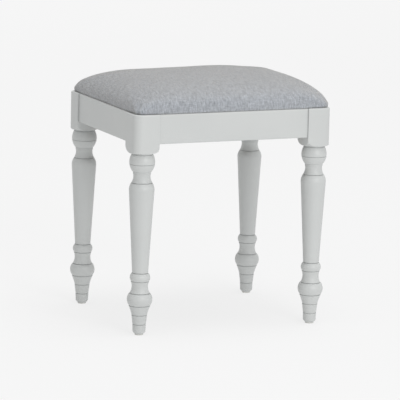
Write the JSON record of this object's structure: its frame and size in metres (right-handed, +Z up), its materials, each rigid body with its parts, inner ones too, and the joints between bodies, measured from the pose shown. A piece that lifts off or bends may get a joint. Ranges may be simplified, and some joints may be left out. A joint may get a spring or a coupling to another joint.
{
  "type": "vanity stool",
  "caption": "Rectangular vanity stool with turned tapered legs under square blocks, a plain rail frame and a crowned upholstered seat pad, to sit on at a dressing table.",
  "frame": {"origin": "on the floor under the middle of the stool, in the plane of the glides' undersides", "axes": "+Z up, +X to the sitter's right along the long side of the seat, -Y towards the front"},
  "size_m": [0.41, 0.355, 0.485],
  "materials": {
    "painted_wood": "light grey satin paint on turned and machined hardwood",
    "bare_wood": "unpainted planed hardwood",
    "plywood": "unfinished plywood",
    "foam": "open-cell upholstery foam",
    "wadding": "soft polyester wadding",
    "seat_fabric": "heathered grey woven upholstery fabric",
    "lining": "black non-woven lining",
    "zinc_steel": "zinc-plated steel",
    "glide_plastic": "moulded nylon"
  },
  "bodies": {
    "root": {"leg_front_left": "painted_wood", "leg_front_right": "painted_wood", "leg_back_left": "painted_wood", "leg_back_right": "painted_wood", "rail_front": "painted_wood", "rail_back": "painted_wood", "rail_left": "painted_wood", "rail_right": "painted_wood", "corner_brace_front_left": "bare_wood", "corner_brace_front_right": "bare_wood", "corner_brace_back_left": "bare_wood", "corner_brace_back_right": "bare_wood", "foot_glide_front_left": "glide_plastic", "foot_glide_front_right": "glide_plastic", "foot_glide_back_left": "glide_plastic", "foot_glide_back_right": "glide_plastic", "rail_dowels": "bare_wood", "brace_screws": "zinc_steel", "seat_screws": "zinc_steel", "seat_screw_washers": "zinc_steel", "glide_nails": "zinc_steel", "seat_board": "plywood", "seat_foam": "foam", "seat_wadding": "wadding", "seat_cover": "seat_fabric", "dust_cover": "lining"}
  },
  "joints": []
}
